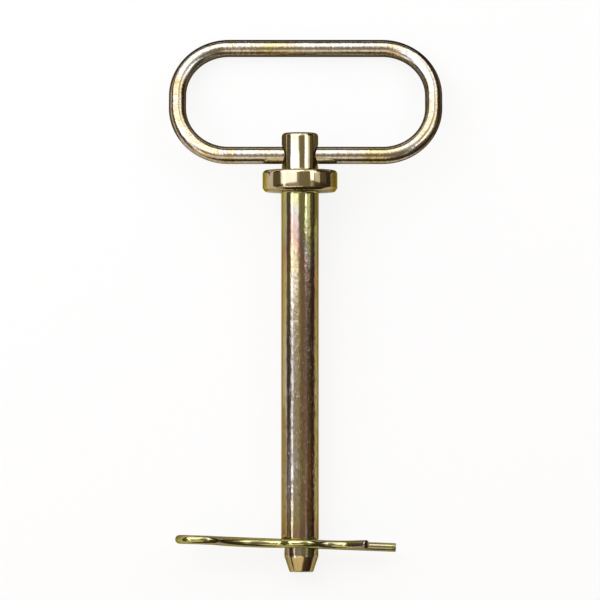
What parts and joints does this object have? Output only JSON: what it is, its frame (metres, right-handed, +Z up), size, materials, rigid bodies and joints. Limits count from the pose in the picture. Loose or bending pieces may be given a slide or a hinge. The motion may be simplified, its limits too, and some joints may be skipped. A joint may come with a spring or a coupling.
{
  "type": "hitch pin",
  "caption": "Plated steel hitch pin: round shank with collar and tapered nose, swinging loop handle through the head and spring clip through the nose end.",
  "frame": {"origin": "under the middle of the part's outer box, on the surface it lies on", "axes": "+Z up from the surface, +Y along the pin seen from above, from nose to head, +X across it, parallel to the handle's hinge"},
  "size_m": [0.1172, 0.2292, 0.0323],
  "materials": {
    "plated_pin": "yellow passivated zinc plating over turned steel, glossy, with faint rainbow tints, scuffs and fine scratches",
    "plated_rod": "yellow passivated zinc plating over drawn rod, pale gold and glossy",
    "plated_wire": "yellow passivated zinc plating over spring wire, olive gold and glossy"
  },
  "bodies": {
    "pin": {"pin": "plated_pin"},
    "handle": {"handle": "plated_rod"},
    "clip": {"clip": "plated_wire"}
  },
  "joints": [
    {"name": "handle_swivel", "type": "hinge", "parent": "pin", "child": "handle", "pos_m": [0, 0.06317, 0.01673], "axis": [1, 0, 0], "range_deg": [-147.5, 184.1]},
    {"name": "clip_pull", "type": "slide", "parent": "pin", "child": "clip", "axis": [-0.9993, 0.0383, 0.002], "range_m": [0, 0.06], "deforming": ["clip"]}
  ]
}
